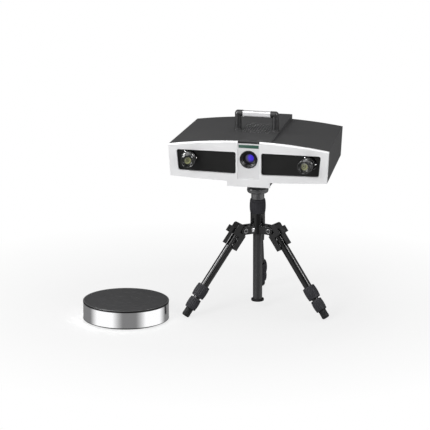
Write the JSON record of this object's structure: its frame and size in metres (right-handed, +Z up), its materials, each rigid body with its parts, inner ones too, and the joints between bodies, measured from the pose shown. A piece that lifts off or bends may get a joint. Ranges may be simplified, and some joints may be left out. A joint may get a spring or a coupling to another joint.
{
  "type": "desktop 3d scanner",
  "caption": "Wide structured-light scan head with cameras, a projector and a carrying handle on a folding mini tripod, with a motor-driven turntable beside it.",
  "frame": {"origin": "bottom centre of the whole set on the desk: midway across its width and depth, at the height of the feet and of the turntable's foot", "axes": "+Z up, the scan head looks toward -Y, +X to the right as seen from the front, the turntable stands on the -X side"},
  "size_m": [0.57, 0.4538, 0.4795],
  "materials": {
    "silver_frame": "satin silver paint",
    "silver_panel": "satin silver paint",
    "casing": "fine texture, dark grey",
    "fascia": "satin",
    "pan": "black anodised",
    "handle_black": "satin",
    "housing_black": "black anodised",
    "focus": "black anodised, knurled",
    "lens": "coated",
    "projector_violet": "violet coated",
    "board": "solder mask",
    "plastic_black": "satin",
    "socket_steel": "nickel plated",
    "column_black": "black anodised",
    "stud_steel": "turned",
    "casting_black": "black painted casting",
    "tube_black": "gloss black",
    "tab_plastic": "satin",
    "grip_rubber": "matt rubber",
    "foot_rubber": "matt rubber",
    "table_side": "brushed",
    "table_top": "satin, black",
    "table_under": "satin, black",
    "motor_steel": "plain"
  },
  "bodies": {
    "stand": {"spider": "casting_black", "hinge_pins": "stud_steel", "table_base": "table_under", "table_shell": "table_side", "drive_motor": "motor_steel"},
    "leg_left": {"leg_top_left": "casting_black", "upper_tube_left": "tube_black"},
    "upper_twist_left": {"upper_lock_left": "grip_rubber"},
    "tab_left": {"angle_tab_left": "tab_plastic"},
    "mid_left": {"middle_tube_left": "tube_black"},
    "lower_twist_left": {"lower_lock_left": "grip_rubber"},
    "low_left": {"lower_tube_left": "tube_black", "rubber_foot_left": "foot_rubber"},
    "leg_right": {"leg_top_right": "casting_black", "upper_tube_right": "tube_black"},
    "upper_twist_right": {"upper_lock_right": "grip_rubber"},
    "tab_right": {"angle_tab_right": "tab_plastic"},
    "mid_right": {"middle_tube_right": "tube_black"},
    "lower_twist_right": {"lower_lock_right": "grip_rubber"},
    "low_right": {"lower_tube_right": "tube_black", "rubber_foot_right": "foot_rubber"},
    "leg_rear": {"leg_top_rear": "casting_black", "upper_tube_rear": "tube_black"},
    "upper_twist_rear": {"upper_lock_rear": "grip_rubber"},
    "tab_rear": {"angle_tab_rear": "tab_plastic"},
    "mid_rear": {"middle_tube_rear": "tube_black"},
    "lower_twist_rear": {"lower_lock_rear": "grip_rubber"},
    "low_rear": {"lower_tube_rear": "tube_black", "rubber_foot_rear": "foot_rubber"},
    "column": {"centre_column": "column_black", "platform_disc": "casting_black", "mount_stud": "stud_steel", "column_cap": "foot_rubber"},
    "collar": {"column_collar": "grip_rubber"},
    "head": {"front_bezel": "silver_frame", "centre_panel": "silver_panel", "fascia_panel": "fascia", "housing_shell": "casing", "spine_cover": "casing", "base_pan": "pan", "rear_panel": "casing", "mount_block": "pan", "handle_ends": "handle_black", "handle_grip": "silver_frame", "projector_body": "housing_black", "projector_lens": "housing_black", "projector_glass": "projector_violet", "camera_left": "housing_black", "camera_right": "housing_black", "lens_glasses": "lens", "control_board": "board", "power_inlet": "plastic_black", "data_socket": "socket_steel", "fan_frame": "plastic_black"},
    "focus_left": {"focus_ring_left": "focus"},
    "focus_right": {"focus_ring_right": "focus"},
    "fan": {"fan_rotor": "plastic_black"},
    "switch": {"power_switch": "plastic_black"},
    "platter": {"table_platter": "table_top"},
    "pinion": {"drive_pinion": "table_under"}
  },
  "joints": [
    {"name": "leg_fold_left", "type": "hinge", "parent": "stand", "child": "leg_left", "pos_m": [0.06575, 0.00886, 0.1937], "axis": [0.6334, -0.7738, 0], "range_deg": [0, 37]},
    {"name": "upper_twist_left", "type": "hinge", "parent": "leg_left", "child": "upper_twist_left", "pos_m": [-0.02079, -0.06197, 0.05859], "axis": [0.4657, 0.3812, 0.7986], "range_deg": [0, 120]},
    {"name": "tab_pull_left", "type": "slide", "parent": "leg_left", "child": "tab_left", "axis": [-0.618, -0.5058, 0.6018], "range_m": [0, 0.004]},
    {"name": "middle_slide_left", "type": "slide", "parent": "leg_left", "child": "mid_left", "axis": [-0.4657, -0.3812, -0.7986], "range_m": [0, 0.11]},
    {"name": "lower_twist_left", "type": "hinge", "parent": "mid_left", "child": "lower_twist_left", "pos_m": [-0.03639, -0.07474, 0.03184], "axis": [0.4657, 0.3812, 0.7986], "range_deg": [0, 120]},
    {"name": "lower_slide_left", "type": "slide", "parent": "mid_left", "child": "low_left", "axis": [-0.4657, -0.3812, -0.7986], "range_m": [0, 0.13]},
    {"name": "leg_fold_right", "type": "hinge", "parent": "stand", "child": "leg_right", "pos_m": [0.13036, 0.01944, 0.1937], "axis": [0.3535, 0.9354, 0], "range_deg": [0, 37]},
    {"name": "upper_twist_right", "type": "hinge", "parent": "leg_right", "child": "upper_twist_right", "pos_m": [0.23497, -0.02009, 0.05859], "axis": [-0.563, 0.2127, 0.7986], "range_deg": [0, 120]},
    {"name": "tab_pull_right", "type": "slide", "parent": "leg_right", "child": "tab_right", "axis": [0.7471, -0.2823, 0.6018], "range_m": [0, 0.004]},
    {"name": "middle_slide_right", "type": "slide", "parent": "leg_right", "child": "mid_right", "axis": [0.563, -0.2127, -0.7986], "range_m": [0, 0.11]},
    {"name": "lower_twist_right", "type": "hinge", "parent": "mid_right", "child": "lower_twist_right", "pos_m": [0.25383, -0.02722, 0.03184], "axis": [-0.563, 0.2127, 0.7986], "range_deg": [0, 120]},
    {"name": "lower_slide_right", "type": "slide", "parent": "mid_right", "child": "low_right", "axis": [0.563, -0.2127, -0.7986], "range_m": [0, 0.13]},
    {"name": "leg_fold_rear", "type": "hinge", "parent": "stand", "child": "leg_rear", "pos_m": [0.08889, 0.0701, 0.1937], "axis": [-0.9869, -0.1616, 0], "range_deg": [0, 37]},
    {"name": "upper_twist_rear", "type": "hinge", "parent": "leg_rear", "child": "upper_twist_rear", "pos_m": [0.07082, 0.18046, 0.05859], "axis": [0.0973, -0.5939, 0.7986], "range_deg": [0, 120]},
    {"name": "tab_pull_rear", "type": "slide", "parent": "leg_rear", "child": "tab_rear", "axis": [-0.1291, 0.7881, 0.6018], "range_m": [0, 0.004]},
    {"name": "middle_slide_rear", "type": "slide", "parent": "leg_rear", "child": "mid_rear", "axis": [-0.0973, 0.5939, -0.7986], "range_m": [0, 0.11]},
    {"name": "lower_twist_rear", "type": "hinge", "parent": "mid_rear", "child": "lower_twist_rear", "pos_m": [0.06756, 0.20036, 0.03184], "axis": [0.0973, -0.5939, 0.7986], "range_deg": [0, 120]},
    {"name": "lower_slide_rear", "type": "slide", "parent": "mid_rear", "child": "low_rear", "axis": [-0.0973, 0.5939, -0.7986], "range_m": [0, 0.13]},
    {"name": "column_lift", "type": "slide", "parent": "stand", "child": "column", "axis": [0, 0, 1], "range_m": [0, 0.145]},
    {"name": "collar_twist", "type": "hinge", "parent": "stand", "child": "collar", "pos_m": [0.095, 0.0328, 0.248], "axis": [0, 0, 1], "range_deg": [0, 120]},
    {"name": "head_pan", "type": "hinge", "parent": "column", "child": "head", "pos_m": [0.095, 0.0328, 0.294], "axis": [0, 0, 1], "range_deg": [-180, 180]},
    {"name": "focus_turn_left", "type": "hinge", "parent": "head", "child": "focus_left", "pos_m": [-0.04499, -0.08428, 0.382], "axis": [0.1219, -0.9925, 0], "range_deg": [-130, 130]},
    {"name": "focus_turn_right", "type": "hinge", "parent": "head", "child": "focus_right", "pos_m": [0.23499, -0.08428, 0.382], "axis": [-0.1219, -0.9925, 0], "range_deg": [-130, 130]},
    {"name": "fan_spin", "type": "hinge", "parent": "head", "child": "fan", "pos_m": [0, 0.1566, 0.384], "axis": [0, 1, 0], "continuous": true},
    {"name": "switch_rock", "type": "hinge", "parent": "head", "child": "switch", "pos_m": [0.215, 0.1606, 0.384], "axis": [-1, 0, 0], "range_deg": [0, 16]},
    {"name": "platter_spin", "type": "hinge", "parent": "stand", "child": "platter", "pos_m": [-0.185, -0.1269, 0.0418], "axis": [0, 0, 1], "continuous": true},
    {"name": "pinion_spin", "type": "hinge", "parent": "stand", "child": "pinion", "pos_m": [-0.122, -0.1269, 0.0338], "axis": [0, 0, 1], "continuous": true}
  ],
  "couplings": [
    {"joint": "pinion_spin", "follows": "platter_spin", "ratio": -6}
  ]
}
